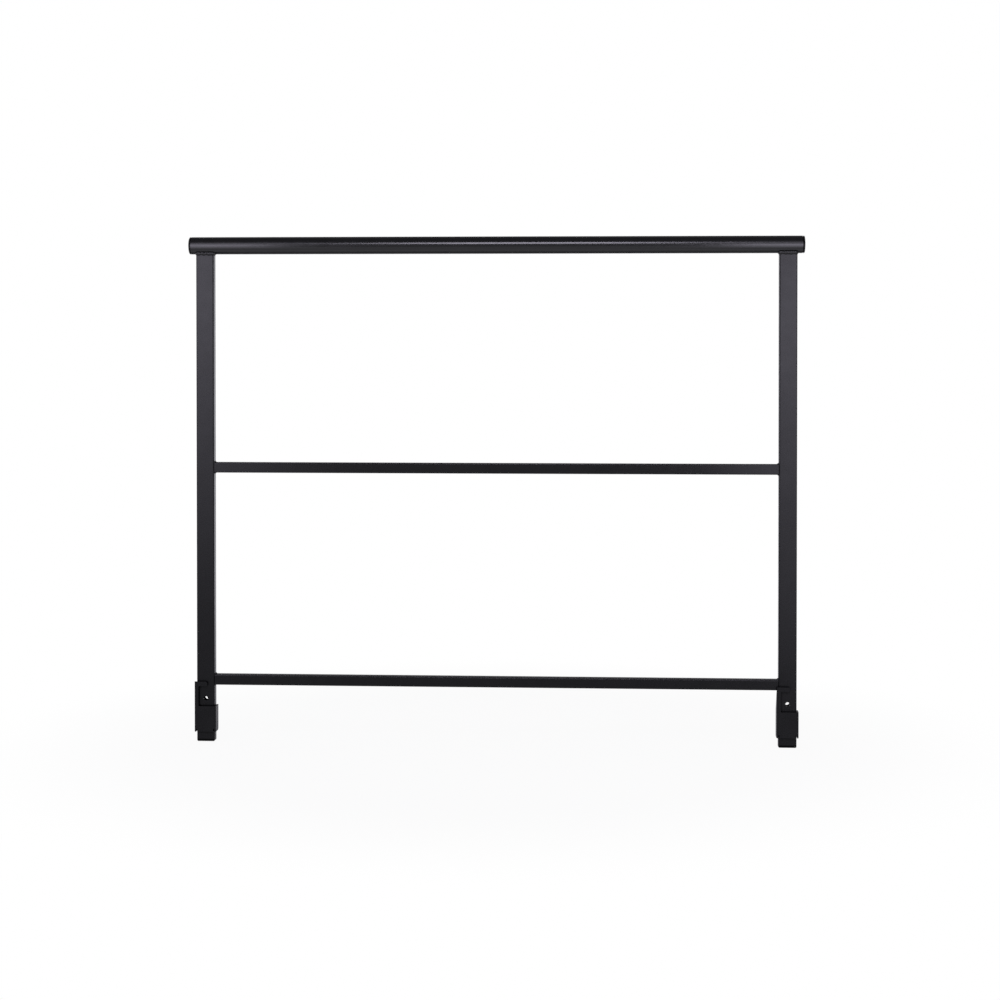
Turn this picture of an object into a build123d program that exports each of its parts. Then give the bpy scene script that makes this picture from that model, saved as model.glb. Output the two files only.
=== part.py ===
from build123d import *

import os

# A stage guard rail: a round handrail on two posts, two cross rails between the posts,
# and a bent-sheet bracket round the foot of each post. All sizes are in millimetres.
# X runs along the handrail, Y from the front to the back, Z up. The origin lies on the
# left post's back face, level with the lower edges of the foot brackets.

# Handrail: a round tube with a plastic cap in each end
handrail_length = 1200.0
handrail_diameter = 33.7
handrail_wall = 2.0
cap_rim_length = 5.5
cap_crown = 1.2
cap_edge_radius = 3.5
cap_edge_bevels = 4
cap_stub_length = 16.0
cap_stub_wall = 2.0

# Posts: rectangular tubes, cut to a saddle under the handrail
post_width = 35.0
post_depth = 20.0
post_wall = 2.0
post_corner = 2.5
post_inner_corner = 0.8
post_inset = 15.5
post_toe = 19.8
handrail_top = 968.7

# Cross rails: square tubes that run from post to post
bar_height = 20.0
bar_depth = 20.0
bar_wall = 1.5
bar_corner = 2.0
bar_inner_corner = 0.6
mid_rail_underside = 507.7
bottom_rail_underside = 91.2

# Bolt hole through each post, front to back
bolt_hole_diameter = 8.5
bolt_hole_height = 64.5

# Foot brackets: sheet bent round the front and both sides of the post
plate = 3.0
plate_gap = 3.5
low_side_gap = 0.6
tall_side_gap = 0.9
bend_inner_radius = 1.0
low_side_height = 50.0
tall_side_lap = 7.0
web_strip = 4.2
top_tab_height = 9.0
top_tab_reach = 21.5
top_tab_radius = 3.5
window_corner = 2.0
flange_corner = 5.0
rail_clearance = 0.5
relief_width = 2.5
relief_height = 6.0

# Plastic plugs in the posts' lower ends
plug_rim = 5.0
plug_chamfer = 1.6
plug_stub_length = 14.0
plug_stub_wall = 2.0

# Gaps left for the weld root and for pushing plastic into a tube
weld_gap = 0.2
push_fit_gap = 0.2

# Places worked out from the sizes above
post_spacing = handrail_length - 2 * post_inset - post_width
post_centre_y = -post_depth / 2
handrail_start = -post_width / 2 - post_inset
handrail_end = handrail_start + handrail_length
handrail_axis_z = handrail_top - handrail_diameter / 2
post_end_z = -post_toe + plug_rim
bracket_front_y = -post_depth - plate_gap - plate
tall_side_inner_x = -post_width / 2 - tall_side_gap
low_side_inner_x = post_width / 2 + low_side_gap
bend_outer_radius = bend_inner_radius + plate
tall_side_height = bottom_rail_underside + tall_side_lap

SIDES = {"left": 0.0, "right": post_spacing}


def across(x, y, z):
    """Plane at a point, facing along +X, with Y to its right and Z up."""
    return Plane(origin=(x, y, z), x_dir=(0, 1, 0), z_dir=(1, 0, 0))


def level(x, y, z):
    """Plane at a point, facing up, with X to its right."""
    return Plane(origin=(x, y, z), x_dir=(1, 0, 0), z_dir=(0, 0, 1))


def facing_front(x, y, z):
    """Plane at a point, facing the front, with X to its right and Z up."""
    return Plane(origin=(x, y, z), x_dir=(1, 0, 0), z_dir=(0, -1, 0))


def save(part, name):
    """Labels a finished piece and writes its file."""
    part.label = name
    export_step(part, f"parts/{name}.step")


def make_handrail():
    """Round tube between the two end caps."""
    tube_length = handrail_length - 2 * cap_rim_length
    with BuildPart() as handrail:
        with BuildSketch(across(handrail_start + cap_rim_length, post_centre_y, handrail_axis_z)):
            Circle(handrail_diameter / 2)
            Circle(handrail_diameter / 2 - handrail_wall, mode=Mode.SUBTRACT)
        extrude(amount=tube_length)
    return handrail.part


def make_handrail_cap(outer_x, inward):
    """Cap with a slightly coned end, an edge rounded by short bevels and a hollow stub."""
    rim_radius = handrail_diameter / 2
    stub_radius = rim_radius - handrail_wall - push_fit_gap
    cap_plane = Plane(origin=(outer_x, post_centre_y, handrail_axis_z), x_dir=(inward, 0, 0), z_dir=(0, -1, 0))
    stub_end = cap_rim_length + cap_stub_length
    with BuildPart() as cap:
        with BuildSketch(cap_plane):
            with BuildLine():
                edge_centre = (cap_crown + cap_edge_radius, rim_radius - cap_edge_radius)
                edge = CenterArc(edge_centre, cap_edge_radius, 180, -90, mode=Mode.PRIVATE)
                Polyline(
                    (0, 0),
                    *[edge @ (i / cap_edge_bevels) for i in range(cap_edge_bevels + 1)],
                    (cap_rim_length, rim_radius),
                    (cap_rim_length, stub_radius),
                    (stub_end, stub_radius),
                    (stub_end, stub_radius - cap_stub_wall),
                    (cap_rim_length, stub_radius - cap_stub_wall),
                    (cap_rim_length, 0),
                    close=True,
                )
            make_face()
        revolve(axis=Axis(cap_plane.origin, cap_plane.x_dir))
    return cap.part


def make_post(centre_x):
    """Rectangular tube with a saddle at its top and a bolt hole through its front and back walls."""
    with BuildPart() as post:
        with BuildSketch(level(centre_x, post_centre_y, post_end_z)):
            RectangleRounded(post_width, post_depth, post_corner)
            RectangleRounded(
                post_width - 2 * post_wall, post_depth - 2 * post_wall, post_inner_corner, mode=Mode.SUBTRACT
            )
        extrude(amount=handrail_axis_z - post_end_z)
        with BuildSketch(across(centre_x, post_centre_y, handrail_axis_z)):
            Circle(handrail_diameter / 2 + weld_gap)
        extrude(amount=post_width, both=True, mode=Mode.SUBTRACT)
        with Locations(facing_front(centre_x, -post_depth, bolt_hole_height)):
            Hole(bolt_hole_diameter / 2, post_depth)
    return post.part


def make_cross_rail(underside_z):
    """Square tube from post to post, centred in the posts' depth."""
    start_x = post_width / 2 + weld_gap
    with BuildPart() as cross_rail:
        with BuildSketch(across(start_x, post_centre_y, underside_z + bar_height / 2)):
            RectangleRounded(bar_depth, bar_height, bar_corner)
            RectangleRounded(
                bar_depth - 2 * bar_wall, bar_height - 2 * bar_wall, bar_inner_corner, mode=Mode.SUBTRACT
            )
        extrude(amount=post_spacing - post_width - 2 * weld_gap)
    return cross_rail.part


def make_foot_bracket(centre_x):
    """Channel of bent sheet: a low front and right side, and a tall left side that ends in a hooked tab."""
    strip_edge_x = web_strip - post_width / 2
    tab_end_x = top_tab_reach - post_width / 2
    tall_side_x = tall_side_inner_x - plate
    low_side_x = low_side_inner_x + plate
    tab_underside = tall_side_height - top_tab_height
    plate_back_y = bracket_front_y + plate
    taper_top = bottom_rail_underside - rail_clearance
    with BuildPart() as bracket:
        # The channel: outer and inner outline of the bent sheet, open at the back
        with BuildSketch(level(centre_x, 0, 0)) as outside:
            with Locations((tall_side_x, bracket_front_y)):
                Rectangle(low_side_x - tall_side_x, -bracket_front_y, align=(Align.MIN, Align.MIN))
            fillet(outside.vertices().group_by(Axis.Y)[0], bend_outer_radius)
        extrude(amount=tall_side_height)
        with BuildSketch(level(centre_x, 0, 0)) as inside:
            with Locations((tall_side_inner_x, plate_back_y)):
                Rectangle(low_side_inner_x - tall_side_inner_x, -bracket_front_y, align=(Align.MIN, Align.MIN))
            fillet(inside.vertices().group_by(Axis.Y)[0], bend_inner_radius)
        extrude(amount=tall_side_height, mode=Mode.SUBTRACT)

        # The window over the bolt hole, open to the right, which leaves a strip and a tab above it
        with BuildSketch(facing_front(centre_x, bracket_front_y, 0)) as window:
            with BuildLine():
                Polyline(
                    (strip_edge_x, low_side_height),
                    (low_side_x, low_side_height),
                    (low_side_x, tall_side_height),
                    (tab_end_x, tall_side_height),
                    (tab_end_x, tab_underside),
                    (strip_edge_x, tab_underside),
                    close=True,
                )
            make_face()
            fillet(window.vertices().group_by(Axis.X)[0], window_corner)
        extrude(amount=bracket_front_y, mode=Mode.SUBTRACT)
        tab_end = bracket.edges().filter_by(Axis.Y).filter_by_position(
            Axis.X, centre_x + tab_end_x - weld_gap, centre_x + tab_end_x + weld_gap
        )
        fillet(tab_end, top_tab_radius)

        # The tall side tapers to the front plate under the bottom rail, which the plate passes in front of
        with BuildSketch(across(centre_x, 0, 0)):
            with BuildLine():
                Polyline(
                    (0, low_side_height),
                    (0, tall_side_height),
                    (plate_back_y, tall_side_height),
                    (plate_back_y, taper_top),
                    close=True,
                )
            make_face()
        extrude(amount=tall_side_x, mode=Mode.SUBTRACT)

        # Rounded back corners at the lower edges
        lower_back_corners = bracket.edges().filter_by(Axis.X).group_by(Axis.Z)[0].group_by(Axis.Y)[-1]
        fillet(lower_back_corners, flange_corner)

        # Relief notches at the lower ends of both bends
        with BuildSketch(facing_front(centre_x, bracket_front_y, 0)):
            with Locations((tall_side_inner_x, 0)):
                Rectangle(relief_width, relief_height, align=(Align.MIN, Align.MIN))
            with Locations((low_side_inner_x, 0)):
                Rectangle(relief_width, relief_height, align=(Align.MAX, Align.MIN))
        extrude(amount=-plate - bend_inner_radius, mode=Mode.SUBTRACT)
    return bracket.part


def make_post_plug(centre_x):
    """Plug with a chamfered rim as large as the post and a hollow stub inside it."""
    stub_width = post_width - 2 * post_wall - 2 * push_fit_gap
    stub_depth = post_depth - 2 * post_wall - 2 * push_fit_gap
    with BuildPart() as plug:
        with BuildSketch(level(centre_x, post_centre_y, -post_toe)):
            RectangleRounded(post_width, post_depth, post_corner)
        extrude(amount=plug_rim)
        chamfer(plug.faces().sort_by(Axis.Z)[0].edges(), plug_chamfer)
        with BuildSketch(level(centre_x, post_centre_y, post_end_z)):
            RectangleRounded(stub_width, stub_depth, post_inner_corner)
            Rectangle(stub_width - 2 * plug_stub_wall, stub_depth - 2 * plug_stub_wall, mode=Mode.SUBTRACT)
        extrude(amount=plug_stub_length)
    return plug.part


os.makedirs("parts", exist_ok=True)

save(make_handrail(), "handrail")
save(make_handrail_cap(handrail_start, 1), "handrail_left_cap")
save(make_handrail_cap(handrail_end, -1), "handrail_right_cap")
save(make_cross_rail(mid_rail_underside), "mid_rail")
save(make_cross_rail(bottom_rail_underside), "bottom_rail")
for side, post_x in SIDES.items():
    save(make_post(post_x), f"{side}_post")
    save(make_foot_bracket(post_x), f"{side}_foot_bracket")
    save(make_post_plug(post_x), f"{side}_post_plug")
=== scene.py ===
import math

import bmesh
import bpy
from mathutils import Matrix, Vector


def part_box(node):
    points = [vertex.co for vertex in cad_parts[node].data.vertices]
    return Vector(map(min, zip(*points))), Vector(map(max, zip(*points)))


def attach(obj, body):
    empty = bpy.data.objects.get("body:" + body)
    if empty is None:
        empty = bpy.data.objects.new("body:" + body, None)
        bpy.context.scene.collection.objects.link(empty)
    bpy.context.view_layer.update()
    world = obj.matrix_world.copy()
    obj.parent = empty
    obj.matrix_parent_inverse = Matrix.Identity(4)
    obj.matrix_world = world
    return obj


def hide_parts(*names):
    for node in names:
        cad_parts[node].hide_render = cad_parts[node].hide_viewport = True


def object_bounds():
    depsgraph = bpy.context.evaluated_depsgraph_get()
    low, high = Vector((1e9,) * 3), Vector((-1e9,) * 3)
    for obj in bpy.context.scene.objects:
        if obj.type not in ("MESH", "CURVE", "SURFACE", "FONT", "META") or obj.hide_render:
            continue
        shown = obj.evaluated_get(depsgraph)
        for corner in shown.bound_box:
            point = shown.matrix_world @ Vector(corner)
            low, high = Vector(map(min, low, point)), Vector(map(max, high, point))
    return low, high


# A black stage guard rail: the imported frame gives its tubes, brackets, caps and plugs, and this script
# adds smooth end caps, the weld beads, the finish of every surface, a plain studio and the camera.
# All sizes are in metres.

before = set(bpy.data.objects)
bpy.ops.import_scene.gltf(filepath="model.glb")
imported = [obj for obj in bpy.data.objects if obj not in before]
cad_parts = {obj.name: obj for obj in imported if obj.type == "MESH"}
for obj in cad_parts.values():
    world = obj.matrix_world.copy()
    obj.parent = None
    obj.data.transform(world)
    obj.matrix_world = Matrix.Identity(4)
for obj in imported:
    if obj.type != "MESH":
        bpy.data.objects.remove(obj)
cad_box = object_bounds()
MM = 0.001

# Places read from the frame
handrail_low, handrail_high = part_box("handrail")
HANDRAIL_RADIUS = (handrail_high.z - handrail_low.z) / 2
HANDRAIL_AXIS_Y = (handrail_high.y + handrail_low.y) / 2
HANDRAIL_AXIS_Z = (handrail_high.z + handrail_low.z) / 2
FLOOR_Z = cad_box[0].z
MIDDLE_X = (cad_box[0].x + cad_box[1].x) / 2

# Names of the pieces in the frame, and the slots of their materials
SIDES = ("left", "right")
CROSS_RAILS = ("mid_rail", "bottom_rail")
STEEL_NODES = ("left_post", "right_post", "mid_rail", "bottom_rail",
               "left_foot_bracket", "right_foot_bracket")
CAP_NODES = ("handrail_left_cap", "handrail_right_cap")
PLUG_NODES = ("left_post_plug", "right_post_plug")

# Handrail caps: a shallow dome, a rounded edge, a lip, a groove where the tube starts, and a hollow stub
CAP_RIM = handrail_low.x - cad_box[0].x
CAP_EDGE = 2.4 * MM
CAP_LIP = 3.3 * MM
CAP_GROOVE = 0.9 * MM
CAP_GROOVE_SLOPE = 0.3 * MM
CAP_STUB_STEP = 2.2 * MM
CAP_STUB_WALL = 2.0 * MM
CAP_DOME_ANGLE = math.radians(10)
CAP_DOME_STEPS = 10
CAP_EDGE_STEPS = 12
CAP_TURN_STEPS = 128

# Weld beads round the tops of the posts, which are larger at the front and back than at the sides
POST_CORNER = 2.5 * MM
POST_BEAD_SPACING = 0.3 * MM
POST_BEAD_SIDE_LEGS = (2.6 * MM, 2.4 * MM)
POST_BEAD_FACE_LEGS = (5.6 * MM, 2.0 * MM)
POST_BEAD_SIDE_CROWN = 0.3 * MM
POST_BEAD_FACE_CROWN = 2.0 * MM
POST_BEAD_ROOT = 0.8 * MM
POST_BEAD_LUMP = 10.0 * MM

# Weld beads over and under the ends of the cross rails
RAIL_BEAD_LEGS = (2.2 * MM, 2.4 * MM)
RAIL_BEAD_CROWN = 0.2 * MM
RAIL_BEAD_ROOT = 0.5 * MM
RAIL_BEAD_INSET = 1.2 * MM
RAIL_BEAD_LUMP = 8.0 * MM

# Sunk weld beads in the grooves at the front and back of the cross rails' ends
GROOVE_BEAD_RADIUS = 1.15 * MM
GROOVE_BEAD_DEPTH = 3.0 * MM
GROOVE_BEAD_SHIFT = 0.55 * MM
GROOVE_BEAD_INSET = 1.5 * MM
GROOVE_BEAD_LUMP = 7.0 * MM

CROWN_STEPS = 10
BEAD_STEPS = 60
GROOVE_BEAD_SIDES = 12
WELD_PHASES = {"left": 0.13, "right": 0.42, "mid_rail": 0.21, "bottom_rail": 0.67}

# Camera, as in the photograph
CAMERA_PLACE = (0.82287, -4.08681, 0.78299)
CAMERA_TURN = math.radians(3.4426)
CAMERA_TILT = math.radians(0.9)
CAMERA_LENS = 75.6
CAMERA_SENSOR = 36.0
CAMERA_SHIFT = -0.135

# Tones of the room and of the lamps
ROOM_TONE = (1.0, 0.99, 1.06)
LAMP_TONE = (1.02, 0.975, 1.16)

# Softbox over the camera
KEY_PLACE = (0.46, -3.4, 2.5)
KEY_WIDTH = 0.95
KEY_HEIGHT = 1.1
KEY_RADIANCE = 5.3

# Side softboxes, in zones from the floor up: lower edge, upper edge and brightness
SOFTBOX_Y = -1.0
SOFTBOX_WIDTH = 0.8
SOFTBOX_X = {"left": -0.45, "right": 1.47}
SOFTBOX_ZONES = {
    "left": ((0.0, 0.25, 0.07), (0.25, 0.5, 0.47), (0.5, 0.75, 0.95), (0.75, 1.15, 1.75),
             (1.15, 1.4, 1.1), (1.4, 1.7, 0.5), (1.7, 2.1, 0.08)),
    "right": ((0.0, 0.15, 0.32), (0.15, 0.4, 0.5), (0.4, 0.65, 0.95), (0.65, 1.05, 1.75),
              (1.05, 1.3, 0.65), (1.3, 1.6, 0.3), (1.6, 2.0, 0.05)),
}


# Materials

def new_material(name):
    """A node material, its node tree and its shader."""
    material = bpy.data.materials.new(name)
    material.use_nodes = True
    tree = material.node_tree
    return material, tree, tree.nodes["Principled BSDF"]


def add_node(tree, kind, **inputs):
    """A node with some of its inputs set, named with underscores for spaces."""
    node = tree.nodes.new(kind)
    for name, value in inputs.items():
        node.inputs[name.replace("_", " ")].default_value = value
    return node


def noise(tree, place, scale, detail=2.0):
    """A noise texture whose grains are about 1 / scale metres wide."""
    node = add_node(tree, "ShaderNodeTexNoise", Scale=scale, Detail=detail)
    tree.links.new(place, node.inputs["Vector"])
    return node.outputs["Fac"]


def spread(tree, value, low, high):
    """A noise value stretched to run from low to high."""
    node = add_node(tree, "ShaderNodeMapRange", From_Min=0.3, From_Max=0.7, To_Min=low, To_Max=high)
    tree.links.new(value, node.inputs["Value"])
    return node.outputs["Result"]


def tint(tree, value, dark, light):
    """A colour between two greys, chosen by a value from 0 to 1."""
    node = tree.nodes.new("ShaderNodeMix")
    node.data_type = "RGBA"
    node.inputs["A"].default_value = (*dark, 1)
    node.inputs["B"].default_value = (*light, 1)
    tree.links.new(value, node.inputs["Factor"])
    return node.outputs["Result"]


def bump(tree, height, distance, strength, under=None):
    """A bump of a given depth in metres, laid over another bump if one is given."""
    node = add_node(tree, "ShaderNodeBump", Distance=distance, Strength=strength)
    tree.links.new(height, node.inputs["Height"])
    if under is not None:
        tree.links.new(under, node.inputs["Normal"])
    return node.outputs["Normal"]


def paint_crevice_shade(tree, shader, colour, reach):
    """Gives a shader its colour, with painted shade that darkens the colour and the sheen in crevices as deep
    as the reach in metres.
    """
    # Painted shade: the colour and the sheen go darker where the ambient occlusion finds a crevice
    hollow = add_node(tree, "ShaderNodeAmbientOcclusion", Distance=reach)

    def openness(lowest):
        """A share that is 1 on open surfaces and falls to the lowest share in crevices."""
        node = add_node(tree, "ShaderNodeMapRange", From_Min=0.55, From_Max=0.92, To_Min=lowest, To_Max=1.0)
        tree.links.new(hollow.outputs["AO"], node.inputs["Value"])
        return node.outputs["Result"]

    shade = tree.nodes.new("ShaderNodeMix")
    shade.data_type = "RGBA"
    shade.inputs["A"].default_value = (0, 0, 0, 1)
    tree.links.new(openness(0.2), shade.inputs["Factor"])
    tree.links.new(colour, shade.inputs["B"])
    tree.links.new(shade.outputs["Result"], shader.inputs["Base Color"])
    tree.links.new(openness(0.0), shader.inputs["Specular Tint"])


def powder_coat(name, gloss, roughness, crevice=0.006):
    """Black powder coat: an even dark colour, a soft sheen, painted shade that darkens both in crevices, and a
    faint orange peel.
    """
    material, tree, shader = new_material(name)
    place = tree.nodes.new("ShaderNodeTexCoord").outputs["Object"]
    clouds = spread(tree, noise(tree, place, 18.0), 0.0, 1.0)
    colour = tint(tree, clouds, (0.0058, 0.0058, 0.0066), (0.0078, 0.0078, 0.0088))
    paint_crevice_shade(tree, shader, colour, crevice)
    shader.inputs["Specular IOR Level"].default_value = gloss
    tree.links.new(spread(tree, noise(tree, place, 45.0), *roughness), shader.inputs["Roughness"])
    peel = bump(tree, noise(tree, place, 320.0), 0.00004, 0.5)
    grain = bump(tree, noise(tree, place, 1500.0), 0.00001, 0.4, peel)
    tree.links.new(grain, shader.inputs["Normal"])
    return material


def moulded_plastic(name, crevice):
    """Black moulded plastic with a fine matt grain, and painted shade that darkens it in crevices."""
    material, tree, shader = new_material(name)
    place = tree.nodes.new("ShaderNodeTexCoord").outputs["Object"]
    clouds = spread(tree, noise(tree, place, 60.0), 0.0, 1.0)
    colour = tint(tree, clouds, (0.0042, 0.0042, 0.0045), (0.0062, 0.0062, 0.0066))
    paint_crevice_shade(tree, shader, colour, crevice)
    shader.inputs["Specular IOR Level"].default_value = 0.6
    tree.links.new(spread(tree, noise(tree, place, 120.0), 0.26, 0.34), shader.inputs["Roughness"])
    grain = bump(tree, noise(tree, place, 1800.0, 3.0), 0.00003, 0.5)
    tree.links.new(grain, shader.inputs["Normal"])
    return material


def paint(piece, material):
    """Gives a piece one material in all its slots."""
    if not piece.data.materials:
        piece.data.materials.append(material)
    for slot in piece.material_slots:
        slot.material = material


# Each finish paints shade into its colour and sheen in crevices, out to the last number given; the plugs' copy
# of the plastic reaches further, so its feet darken as painted shade next to the floor
STEEL = powder_coat("black_powder_coat", 0.5, (0.24, 0.29))
HANDRAIL_STEEL = powder_coat("black_powder_coat_handrail", 0.9, (0.19, 0.23))
WELD_STEEL = powder_coat("black_powder_coat_welds", 0.9, (0.24, 0.3), 0.0015)
CAP_PLASTIC = moulded_plastic("black_moulded_plastic", 0.003)
PLUG_PLASTIC = moulded_plastic("black_moulded_plastic_plugs", 0.015)

paint(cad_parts["handrail"], HANDRAIL_STEEL)
for node_names, finish in ((STEEL_NODES, STEEL), (CAP_NODES, CAP_PLASTIC), (PLUG_NODES, PLUG_PLASTIC)):
    for node_name in node_names:
        paint(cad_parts[node_name], finish)


# Added pieces

def add_piece(name, builder, material):
    """A piece of the rail made from a finished mesh builder."""
    bmesh.ops.recalc_face_normals(builder, faces=builder.faces)
    mesh = bpy.data.meshes.new(name)
    builder.to_mesh(mesh)
    builder.free()
    piece = bpy.data.objects.new(name, mesh)
    bpy.context.scene.collection.objects.link(piece)
    paint(piece, material)
    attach(piece, "root")
    return piece


# Handrail caps

def cap_profile(stub_end):
    """Outline of a cap from the middle of its dome to the bottom of its stub, as depths and radii."""
    edge_middle = HANDRAIL_RADIUS - CAP_EDGE
    dome_radius = edge_middle + CAP_EDGE * math.sin(CAP_DOME_ANGLE)
    dome_height = dome_radius * math.tan(CAP_DOME_ANGLE) / 2
    rounded = []
    for i in range(CAP_DOME_STEPS + 1):
        share = i / CAP_DOME_STEPS
        rounded.append((dome_height * share ** 2, dome_radius * share))
    for i in range(1, CAP_EDGE_STEPS + 1):
        angle = CAP_DOME_ANGLE + (math.pi / 2 - CAP_DOME_ANGLE) * i / CAP_EDGE_STEPS
        depth = dome_height + CAP_EDGE * (math.cos(CAP_DOME_ANGLE) - math.cos(angle))
        rounded.append((depth, edge_middle + CAP_EDGE * math.sin(angle)))
    groove_radius = HANDRAIL_RADIUS - CAP_GROOVE
    stub_radius = HANDRAIL_RADIUS - CAP_STUB_STEP
    bore_radius = stub_radius - CAP_STUB_WALL
    stepped = [
        (CAP_LIP, HANDRAIL_RADIUS),
        (CAP_LIP + CAP_GROOVE_SLOPE, groove_radius),
        (CAP_RIM, groove_radius),
        (CAP_RIM, stub_radius),
        (stub_end, stub_radius),
        (stub_end, bore_radius),
        (CAP_RIM, bore_radius),
        (CAP_RIM, 0.0),
    ]
    return rounded, stepped


def turned_cap(side):
    """Moulded cap, turned about the handrail's axis, in place of the frame's bevelled one."""
    node_name = f"handrail_{side}_cap"
    low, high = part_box(node_name)
    end_x, inward = (low.x, 1) if side == "left" else (high.x, -1)
    rounded, stepped = cap_profile(high.x - low.x)
    builder = bmesh.new()
    rows = []
    for depth, radius in rounded + stepped:
        row = []
        for k in range(CAP_TURN_STEPS if radius > 0 else 1):
            angle = 2 * math.pi * k / CAP_TURN_STEPS
            y = HANDRAIL_AXIS_Y + radius * math.cos(angle)
            z = HANDRAIL_AXIS_Z + radius * math.sin(angle)
            row.append(builder.verts.new((end_x + inward * depth, y, z)))
        rows.append(row)
    for number, (row, following) in enumerate(zip(rows, rows[1:])):
        for k in range(CAP_TURN_STEPS):
            corners = []
            for vert in (row[k % len(row)], row[(k + 1) % len(row)],
                         following[(k + 1) % len(following)], following[k % len(following)]):
                if vert not in corners:
                    corners.append(vert)
            builder.faces.new(corners).smooth = number < len(rounded)
    piece = add_piece(f"handrail_{side}_cap_turned", builder, CAP_PLASTIC)
    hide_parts(node_name)


for side in SIDES:
    turned_cap(side)


# Weld beads

def skin(name, rings, closed_loop):
    """A closed mesh through rings of points, which join up in a loop or end in a flat face."""
    builder = bmesh.new()
    rows = [[builder.verts.new(point) for point in ring] for ring in rings]
    count = len(rows[0])
    pairs = list(zip(rows, rows[1:]))
    if closed_loop:
        pairs.append((rows[-1], rows[0]))
    else:
        builder.faces.new(rows[0])
        builder.faces.new(rows[-1])
    for row, following in pairs:
        for i in range(count):
            j = (i + 1) % count
            builder.faces.new((row[i], row[j], following[j], following[i]))
    for face in builder.faces:
        face.smooth = len(face.verts) == 4
    return add_piece(name, builder, WELD_STEEL)


def between(first, second, share):
    """A size between two others."""
    return first + (second - first) * share


def bead_ring(corner, down, out, legs, swell, crown, root):
    """Section of a fillet weld in a corner, with a leg along each of the joined faces and a rounded crown."""
    start = corner + down * legs[0]
    end = corner + out * legs[1]
    ring = []
    for i in range(CROWN_STEPS + 1):
        t = i / CROWN_STEPS
        ring.append(start.lerp(end, t) + swell * crown * 4 * t * (1 - t))
    ring.append(corner - (down + out).normalized() * root)
    return ring


def ripple(run, lump, phase):
    """Size of a hand-laid bead along its run: soft lumps with fine ripples on them and a slow drift."""
    ripple_pitch = 2.1 * MM
    ripple_wander = 3.7 * MM
    drift_pitch = 8.3 * MM
    lumps = math.cos(2 * math.pi * (run / lump + phase))
    ripples = math.cos(2 * math.pi * (run / ripple_pitch + 0.15 * math.sin(run / ripple_wander)))
    drift = math.sin(run / drift_pitch + 6.0 * phase)
    return 1 + 0.10 * lumps + 0.045 * ripples + 0.05 * drift


def rounded_loop(width, depth, corner, spacing):
    """Points and outward directions round a rectangle with rounded corners, evenly spaced."""
    corner_steps = 8
    points = []
    for turn, (cx, cy) in enumerate(((1, -1), (1, 1), (-1, 1), (-1, -1))):
        middle = Vector((cx * (width / 2 - corner), cy * (depth / 2 - corner), 0))
        for i in range(corner_steps + 1):
            angle = (turn - 1 + i / corner_steps) * math.pi / 2
            outward = Vector((math.cos(angle), math.sin(angle), 0))
            points.append((middle + outward * corner, outward))
    loop = []
    for (a, a_out), (b, b_out) in zip(points, points[1:] + points[:1]):
        count = max(1, round((b - a).length / spacing))
        for i in range(count):
            t = i / count
            loop.append((a.lerp(b, t), a_out.lerp(b_out, t).normalized()))
    return loop


def weld_post_to_handrail(side):
    """Fillet weld all round the saddle where a post meets the handrail."""
    low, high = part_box(f"{side}_post")
    centre_x = (low.x + high.x) / 2
    loop = rounded_loop(high.x - low.x, high.y - low.y, POST_CORNER, POST_BEAD_SPACING)
    down = Vector((0, 0, -1))
    rings = []
    run = 0.0
    for i, (offset, outward) in enumerate(loop):
        if i > 0:
            run += (offset - loop[i - 1][0]).length
        rise = math.sqrt(HANDRAIL_RADIUS ** 2 - offset.y ** 2)
        corner = Vector((centre_x + offset.x, HANDRAIL_AXIS_Y + offset.y, HANDRAIL_AXIS_Z - rise))
        away = Vector((0, offset.y, -rise)).normalized()
        along_tube = (outward - away * outward.dot(away)).normalized()
        size = ripple(run, POST_BEAD_LUMP, WELD_PHASES[side])
        facing = outward.y ** 2
        legs = [between(at_side, at_face, facing) * size
                for at_side, at_face in zip(POST_BEAD_SIDE_LEGS, POST_BEAD_FACE_LEGS)]
        crown = between(POST_BEAD_SIDE_CROWN, POST_BEAD_FACE_CROWN, facing) * size
        rings.append(bead_ring(corner, down, along_tube, legs, outward, crown, POST_BEAD_ROOT))
    skin(f"weld_{side}_post_handrail", rings, True)


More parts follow.
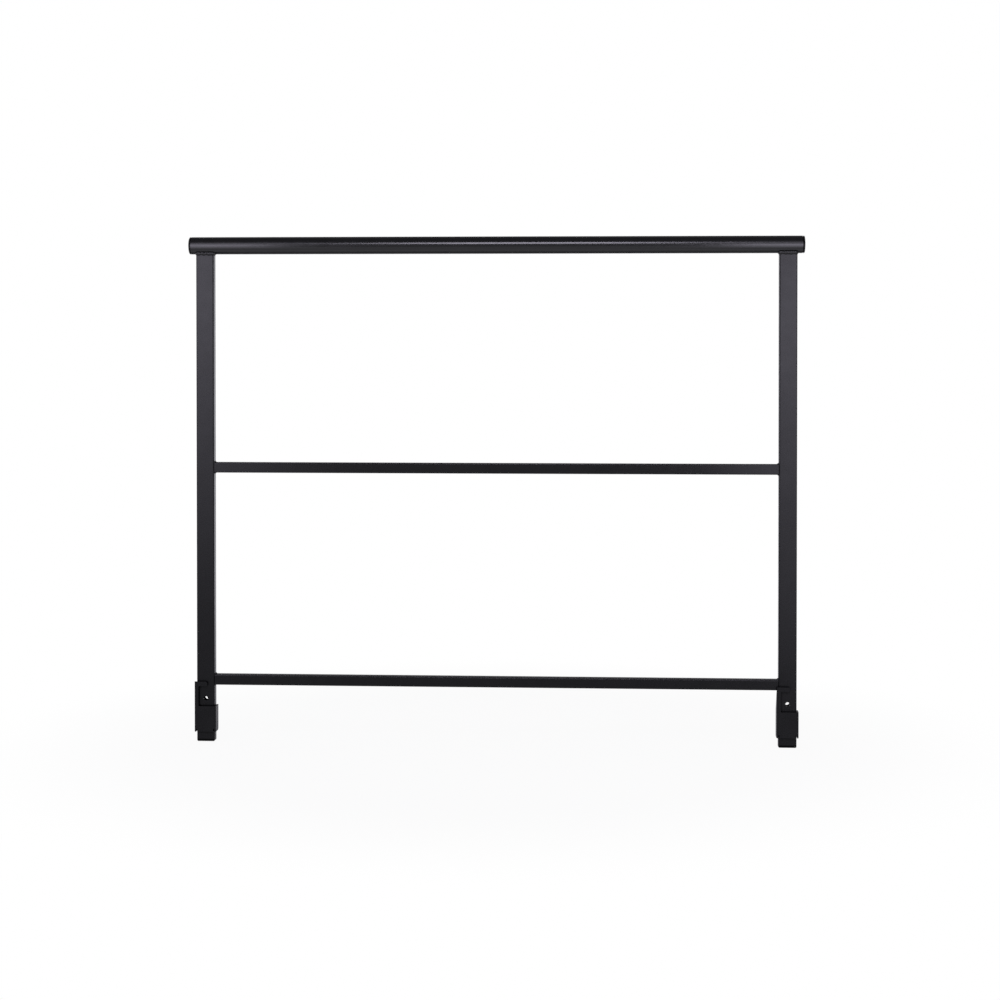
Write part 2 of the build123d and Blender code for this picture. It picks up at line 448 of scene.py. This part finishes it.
def weld_rail_to_post(rail, side):
    """Fillet welds over and under a cross rail's end, and sunk beads in the grooves at its front and back."""
    low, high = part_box(rail)
    post_low, post_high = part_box(f"{side}_post")
    along = 1 if side == "left" else -1
    face_x = post_high.x if side == "left" else post_low.x
    phase = WELD_PHASES[side] + WELD_PHASES[rail]

    along_rail = Vector((along, 0, 0))
    length = high.y - low.y - 2 * RAIL_BEAD_INSET
    for where, edge_z, upright in (("top", high.z, 1), ("under", low.z, -1)):
        up_post = Vector((0, 0, upright))
        swell = (up_post + along_rail).normalized()
        rings = []
        for i in range(BEAD_STEPS + 1):
            share = i / BEAD_STEPS
            run = length * share
            ease = math.sqrt(max(0.0, 1 - (2 * share - 1) ** 6)) * 0.9 + 0.1
            size = ripple(run, RAIL_BEAD_LUMP, phase + 0.3 * upright) * ease
            corner = Vector((face_x, low.y + RAIL_BEAD_INSET + run, edge_z))
            legs = [leg * size for leg in RAIL_BEAD_LEGS]
            crown = RAIL_BEAD_CROWN * size
            rings.append(bead_ring(corner, up_post, along_rail, legs, swell, crown, RAIL_BEAD_ROOT))
        skin(f"weld_{side}_{rail}_{where}", rings, False)

    turns = [2 * math.pi * k / GROOVE_BEAD_SIDES for k in range(GROOVE_BEAD_SIDES)]
    length = high.z - low.z - 2 * GROOVE_BEAD_INSET
    for where, face_y, outward in (("front", low.y, -1), ("back", high.y, 1)):
        x = face_x - along * GROOVE_BEAD_SHIFT
        y = face_y - outward * GROOVE_BEAD_DEPTH
        rings = []
        for i in range(BEAD_STEPS + 1):
            run = length * i / BEAD_STEPS
            radius = GROOVE_BEAD_RADIUS * ripple(run, GROOVE_BEAD_LUMP, phase + 0.2 * outward)
            middle = Vector((x, y, low.z + GROOVE_BEAD_INSET + run))
            rings.append([middle + Vector((math.cos(turn), math.sin(turn), 0)) * radius for turn in turns])
        skin(f"weld_{side}_{rail}_{where}", rings, False)


for side in SIDES:
    weld_post_to_handrail(side)
    for rail in CROSS_RAILS:
        weld_rail_to_post(rail, side)


# Studio

def make_floor():
    """Plain pale floor that keeps the rail's shadow and turns to the backdrop's white away from the rail."""
    size = 14.0
    near_white = 0.93
    near, far = 0.55, 1.1
    mesh = bpy.data.meshes.new("floor")
    builder = bmesh.new()
    bmesh.ops.create_grid(builder, x_segments=8, y_segments=8, size=size)
    builder.to_mesh(mesh)
    builder.free()
    floor = bpy.data.objects.new("floor", mesh)
    floor.location = (MIDDLE_X, 0, FLOOR_Z)
    bpy.context.scene.collection.objects.link(floor)

    material, tree, shader = new_material("pale_floor")
    place = tree.nodes.new("ShaderNodeTexCoord").outputs["Object"]
    clouds = spread(tree, noise(tree, place, 1.5), 0.0, 1.0)
    tree.links.new(tint(tree, clouds, (0.82, 0.82, 0.82), (0.86, 0.86, 0.86)), shader.inputs["Base Color"])
    tree.links.new(spread(tree, noise(tree, place, 30.0), 0.75, 0.85), shader.inputs["Roughness"])
    shader.inputs["Specular IOR Level"].default_value = 0.1

    # White to the camera, a little less so near the rail, where the shadow shows through
    white = add_node(tree, "ShaderNodeEmission", Color=(1, 1, 1, 1), Strength=1.0)
    distance = add_node(tree, "ShaderNodeVectorMath")
    distance.operation = "LENGTH"
    tree.links.new(place, distance.inputs[0])
    whiteness = add_node(tree, "ShaderNodeMapRange", From_Min=near, From_Max=far,
                         To_Min=near_white, To_Max=1.0)
    whiteness.interpolation_type = "SMOOTHSTEP"
    tree.links.new(distance.outputs["Value"], whiteness.inputs["Value"])
    seen = tree.nodes.new("ShaderNodeMath")
    seen.operation = "MULTIPLY"
    rays = tree.nodes.new("ShaderNodeLightPath")
    tree.links.new(rays.outputs["Is Camera Ray"], seen.inputs[0])
    tree.links.new(whiteness.outputs["Result"], seen.inputs[1])
    mix = tree.nodes.new("ShaderNodeMixShader")
    tree.links.new(seen.outputs[0], mix.inputs["Fac"])
    tree.links.new(shader.outputs["BSDF"], mix.inputs[1])
    tree.links.new(white.outputs["Emission"], mix.inputs[2])
    tree.links.new(mix.outputs["Shader"], tree.nodes["Material Output"].inputs["Surface"])
    paint(floor, material)
    floor.visible_glossy = False


def make_world():
    """White to the camera and behind the rail, a dim studio with a dark ceiling in gloss, and an even fill."""
    fill = 0.45
    dim_room = 0.13
    pale_room = 0.5
    # Brightness in front of the rail, by the height of the direction: -1 is straight down, 1 straight up
    front_levels = (
        (-1.0, 0.45), (-0.85, 0.36), (-0.6, 0.36), (-0.36, 0.34), (-0.21, 0.09),
        (-0.16, 0.15), (-0.065, 0.33), (0.0, 0.22), (0.25, 0.12), (0.45, 0.06),
    )
    # Where each part of the room eases in, along the direction's Y or Z
    front_y = (0.6, -0.2)
    behind_y = (0.0, 0.45)
    backdrop_y = (0.15, 0.5)
    backdrop_top_z = (0.08, 0.03)
    backdrop_foot_z = (-0.215, -0.115)
    low_band_top_z = (-0.2, -0.28)
    low_band_foot_z = (-0.5, -0.38)

    world = bpy.data.worlds.new("studio")
    bpy.context.scene.world = world
    world.use_nodes = True
    tree = world.node_tree
    tree.nodes.clear()

    def math_node(operation, first, second):
        """Joins two outputs by an operation."""
        node = tree.nodes.new("ShaderNodeMath")
        node.operation = operation
        tree.links.new(first, node.inputs[0])
        tree.links.new(second, node.inputs[1])
        return node.outputs[0]

    def ease(value, reach):
        """Eases from 0 to 1 as a value goes from the start to the end of a reach."""
        start, end = reach
        node = add_node(tree, "ShaderNodeMapRange", From_Min=start, From_Max=end, To_Min=0.0, To_Max=1.0)
        node.interpolation_type = "SMOOTHSTEP"
        tree.links.new(value, node.inputs["Value"])
        return node.outputs["Result"]

    rays = tree.nodes.new("ShaderNodeLightPath").outputs
    axes = tree.nodes.new("ShaderNodeSeparateXYZ")
    tree.links.new(tree.nodes.new("ShaderNodeTexCoord").outputs["Generated"], axes.inputs["Vector"])
    y, z = axes.outputs["Y"], axes.outputs["Z"]

    # In front of the rail
    half_up = add_node(tree, "ShaderNodeMapRange", From_Min=-1.0, From_Max=1.0, To_Min=0.0, To_Max=1.0)
    tree.links.new(z, half_up.inputs["Value"])
    ramp = tree.nodes.new("ShaderNodeValToRGB")
    tree.links.new(half_up.outputs["Result"], ramp.inputs["Fac"])
    while len(ramp.color_ramp.elements) < len(front_levels):
        ramp.color_ramp.elements.new(0.5)
    for stop, (height, level) in zip(ramp.color_ramp.elements, front_levels):
        stop.position = (height + 1) / 2
        stop.color = (level, level, level, 1)
    in_front = math_node("MULTIPLY", ramp.outputs["Color"], ease(y, front_y))

    # Behind the rail: the white backdrop, and a dim room with a paler band low down
    backdrop_band = math_node("MULTIPLY", ease(z, backdrop_top_z), ease(z, backdrop_foot_z))
    backdrop = math_node("MULTIPLY", ease(y, backdrop_y), backdrop_band)
    low_band = math_node("MULTIPLY", ease(z, low_band_top_z), ease(z, low_band_foot_z))
    room = add_node(tree, "ShaderNodeMapRange", From_Min=0.0, From_Max=1.0, To_Min=dim_room, To_Max=pale_room)
    tree.links.new(low_band, room.inputs["Value"])
    behind = math_node("MULTIPLY", ease(y, behind_y), room.outputs["Result"])
    strength = math_node("MAXIMUM", math_node("MAXIMUM", in_front, backdrop), behind)

    # The fill lights the surfaces, the studio shows in their gloss and the camera sees white
    ambient = add_node(tree, "ShaderNodeBackground", Color=(*ROOM_TONE, 1), Strength=fill)
    studio = add_node(tree, "ShaderNodeBackground", Color=(*ROOM_TONE, 1))
    tree.links.new(strength, studio.inputs["Strength"])
    white = add_node(tree, "ShaderNodeBackground", Color=(1, 1, 1, 1), Strength=1.0)
    seen = math_node("MAXIMUM", rays["Is Camera Ray"], rays["Is Transmission Ray"])
    shader = ambient.outputs["Background"]
    for share, background in ((rays["Is Glossy Ray"], studio), (seen, white)):
        mix = tree.nodes.new("ShaderNodeMixShader")
        tree.links.new(share, mix.inputs["Fac"])
        tree.links.new(shader, mix.inputs[1])
        tree.links.new(background.outputs["Background"], mix.inputs[2])
        shader = mix.outputs["Shader"]
    output = tree.nodes.new("ShaderNodeOutputWorld")
    tree.links.new(shader, output.inputs["Surface"])


def add_softbox(name, place, target, width, height, radiance):
    """An area lamp that faces a point and is as bright all over as given, where 1 is white."""
    lamp = bpy.data.lights.new(name, "AREA")
    lamp.shape = "RECTANGLE"
    lamp.size = width
    lamp.size_y = height
    lamp.energy = radiance * math.pi * width * height
    lamp.color = LAMP_TONE
    softbox = bpy.data.objects.new(name, lamp)
    softbox.location = place
    softbox.rotation_euler = (Vector(target) - Vector(place)).to_track_quat("-Z", "Y").to_euler()
    softbox.visible_camera = False
    bpy.context.scene.collection.objects.link(softbox)


def make_lights():
    """A softbox over the camera and a tall one to each side of it."""
    rail = (MIDDLE_X, HANDRAIL_AXIS_Y, HANDRAIL_AXIS_Z)
    add_softbox("key_softbox", KEY_PLACE, rail, KEY_WIDTH, KEY_HEIGHT, KEY_RADIANCE)
    for side in SIDES:
        x = SOFTBOX_X[side]
        for number, (low, high, radiance) in enumerate(SOFTBOX_ZONES[side]):
            middle = (low + high) / 2
            place = (x, SOFTBOX_Y, middle)
            target = (x, 0, middle)
            add_softbox(f"{side}_softbox_{number}", place, target, SOFTBOX_WIDTH, high - low, radiance)


def make_camera():
    """The camera at the photograph's viewing angle."""
    data = bpy.data.cameras.new("camera")
    data.lens = CAMERA_LENS
    data.sensor_width = CAMERA_SENSOR
    data.shift_y = CAMERA_SHIFT
    camera = bpy.data.objects.new("camera", data)
    place = Matrix.Translation(CAMERA_PLACE)
    turn = Matrix.Rotation(CAMERA_TURN, 4, "Z")
    tilt = Matrix.Rotation(math.pi / 2 - CAMERA_TILT, 4, "X")
    camera.matrix_world = place @ turn @ tilt
    bpy.context.scene.collection.objects.link(camera)
    bpy.context.scene.camera = camera


make_floor()
make_world()
make_lights()
make_camera()
bpy.context.scene.view_settings.view_transform = "Standard"
